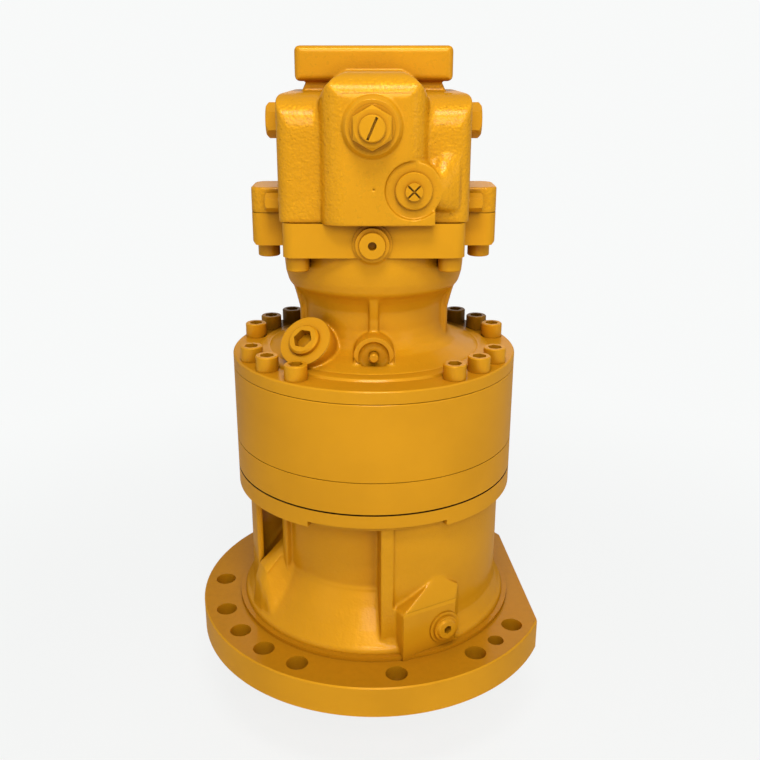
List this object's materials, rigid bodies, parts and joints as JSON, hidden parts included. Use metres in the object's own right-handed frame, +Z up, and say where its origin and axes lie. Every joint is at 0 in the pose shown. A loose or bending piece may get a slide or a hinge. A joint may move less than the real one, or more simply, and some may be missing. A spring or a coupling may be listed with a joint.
{
  "type": "hydraulic swing motor with planetary reduction gear",
  "caption": "Excavator swing motor: axial-piston motor with parking brake on a two-stage planetary gear case, round mounting flange and output pinion below.",
  "frame": {"origin": "on the shaft axis, in the plane of the mounting face under the large flange", "axes": "+Z up the shaft axis towards the valve block, -Y towards the front with the round valve caps, +X to the right seen from the front"},
  "size_m": [0.4019, 0.4209, 0.774],
  "materials": {
    "gold_paint": "gloss paint over cast iron",
    "machined_steel": "ground or machined, oiled",
    "dark_steel": "nitrided, oiled",
    "bronze": "sintered, oiled",
    "rubber": "matt nitrile rubber"
  },
  "bodies": {
    "housing": {"gear_case": "gold_paint", "spacer_ring": "gold_paint", "ring_gear": "gold_paint", "motor_housing": "gold_paint", "valve_block": "gold_paint", "cover_screws": "gold_paint", "block_screws": "gold_paint", "joint_dowels": "machined_steel", "relief_valve_left": "gold_paint", "relief_valve_right": "gold_paint", "front_valve_cap": "gold_paint", "front_adjuster": "gold_paint", "cross_plug": "gold_paint", "brake_port_plug": "gold_paint", "filler_plug": "gold_paint", "breather_stub": "gold_paint", "drain_plug": "gold_paint", "side_plugs": "gold_paint", "output_seal": "rubber", "shaft_seal": "rubber", "block_oring": "rubber", "cam_plate": "machined_steel", "valve_plate": "bronze", "separator_plates": "machined_steel", "brake_springs": "machined_steel", "lower_bearing_cup": "machined_steel", "upper_bearing_cup": "machined_steel", "motor_lower_cup": "machined_steel", "motor_upper_cup": "machined_steel"},
    "output": {"pinion_shaft": "machined_steel", "lower_bearing_cone": "machined_steel", "upper_bearing_cone": "machined_steel", "bearing_nut": "dark_steel", "carrier_2": "dark_steel", "planet_pins_2": "machined_steel", "thrust_washers_2": "bronze"},
    "planet_2_a": {"planet_2_a": "machined_steel"},
    "planet_2_b": {"planet_2_b": "machined_steel"},
    "planet_2_c": {"planet_2_c": "machined_steel"},
    "planet_2_d": {"planet_2_d": "machined_steel"},
    "first_carrier": {"carrier_1": "dark_steel", "planet_pins_1": "machined_steel", "thrust_washers_1": "bronze", "sun_2": "machined_steel"},
    "planet_1_a": {"planet_1_a": "machined_steel"},
    "planet_1_b": {"planet_1_b": "machined_steel"},
    "planet_1_c": {"planet_1_c": "machined_steel"},
    "rotor": {"sun_1": "machined_steel", "drive_shaft": "machined_steel", "cylinder_block": "dark_steel", "pistons": "machined_steel", "retainer_plate": "dark_steel", "centre_spring": "machined_steel", "friction_discs": "bronze", "motor_lower_cone": "machined_steel"},
    "brake": {"brake_piston": "machined_steel"},
    "lower_roller_set": {"lower_rollers": "machined_steel"},
    "upper_roller_set": {"upper_rollers": "machined_steel"},
    "motor_lower_roller_set": {"motor_lower_rollers": "machined_steel"},
    "motor_upper_roller_set": {"motor_upper_rollers": "machined_steel"}
  },
  "joints": [
    {"name": "output_spin", "type": "hinge", "parent": "housing", "child": "output", "pos_m": [0, 0, 0], "axis": [0, 0, 1], "continuous": true},
    {"name": "planet_2_a_spin", "type": "hinge", "parent": "output", "child": "planet_2_a", "pos_m": [0.0594, 0.0594, 0.268], "axis": [0, 0, 1], "continuous": true},
    {"name": "planet_2_b_spin", "type": "hinge", "parent": "output", "child": "planet_2_b", "pos_m": [-0.0594, 0.0594, 0.268], "axis": [0, 0, 1], "continuous": true},
    {"name": "planet_2_c_spin", "type": "hinge", "parent": "output", "child": "planet_2_c", "pos_m": [-0.0594, -0.0594, 0.268], "axis": [0, 0, 1], "continuous": true},
    {"name": "planet_2_d_spin", "type": "hinge", "parent": "output", "child": "planet_2_d", "pos_m": [0.0594, -0.0594, 0.268], "axis": [0, 0, 1], "continuous": true},
    {"name": "first_carrier_spin", "type": "hinge", "parent": "housing", "child": "first_carrier", "pos_m": [0, 0, 0.311], "axis": [0, 0, 1], "continuous": true},
    {"name": "planet_1_a_spin", "type": "hinge", "parent": "first_carrier", "child": "planet_1_a", "pos_m": [0.06755, 0.039, 0.311], "axis": [0, 0, 1], "continuous": true},
    {"name": "planet_1_b_spin", "type": "hinge", "parent": "first_carrier", "child": "planet_1_b", "pos_m": [-0.06755, 0.039, 0.311], "axis": [0, 0, 1], "continuous": true},
    {"name": "planet_1_c_spin", "type": "hinge", "parent": "first_carrier", "child": "planet_1_c", "pos_m": [0, -0.078, 0.311], "axis": [0, 0, 1], "continuous": true},
    {"name": "rotor_spin", "type": "hinge", "parent": "housing", "child": "rotor", "pos_m": [0, 0, 0.42], "axis": [0, 0, 1], "continuous": true},
    {"name": "lower_roller_orbit", "type": "hinge", "parent": "housing", "child": "lower_roller_set", "pos_m": [0, 0, 0.027], "axis": [0, 0, 1], "continuous": true},
    {"name": "upper_roller_orbit", "type": "hinge", "parent": "housing", "child": "upper_roller_set", "pos_m": [0, 0, 0.166], "axis": [0, 0, 1], "continuous": true},
    {"name": "motor_lower_roller_orbit", "type": "hinge", "parent": "housing", "child": "motor_lower_roller_set", "pos_m": [0, 0, 0.3615], "axis": [0, 0, 1], "continuous": true},
    {"name": "motor_upper_roller_orbit", "type": "hinge", "parent": "housing", "child": "motor_upper_roller_set", "pos_m": [0, 0, 0.51], "axis": [0, 0, 1], "continuous": true},
    {"name": "brake_slide", "type": "slide", "parent": "housing", "child": "brake", "axis": [0, 0, 1], "range_m": [0, 0.0025], "stiffness_N_per_m": 6000, "springref_m": -0.005, "deforming": ["brake_springs"]}
  ],
  "couplings": [
    {"joint": "planet_2_a_spin", "follows": "output_spin", "ratio": -3},
    {"joint": "planet_2_b_spin", "follows": "output_spin", "ratio": -3},
    {"joint": "planet_2_c_spin", "follows": "output_spin", "ratio": -3},
    {"joint": "planet_2_d_spin", "follows": "output_spin", "ratio": -3},
    {"joint": "first_carrier_spin", "follows": "output_spin", "ratio": 4},
    {"joint": "planet_1_a_spin", "follows": "output_spin", "ratio": -10.5},
    {"joint": "planet_1_b_spin", "follows": "output_spin", "ratio": -10.5},
    {"joint": "planet_1_c_spin", "follows": "output_spin", "ratio": -10.5},
    {"joint": "rotor_spin", "follows": "output_spin", "ratio": 20.8},
    {"joint": "lower_roller_orbit", "follows": "output_spin", "ratio": 0.44643},
    {"joint": "upper_roller_orbit", "follows": "output_spin", "ratio": 0.45},
    {"joint": "motor_lower_roller_orbit", "follows": "output_spin", "ratio": 8.8},
    {"joint": "motor_upper_roller_orbit", "follows": "output_spin", "ratio": 8.3}
  ]
}
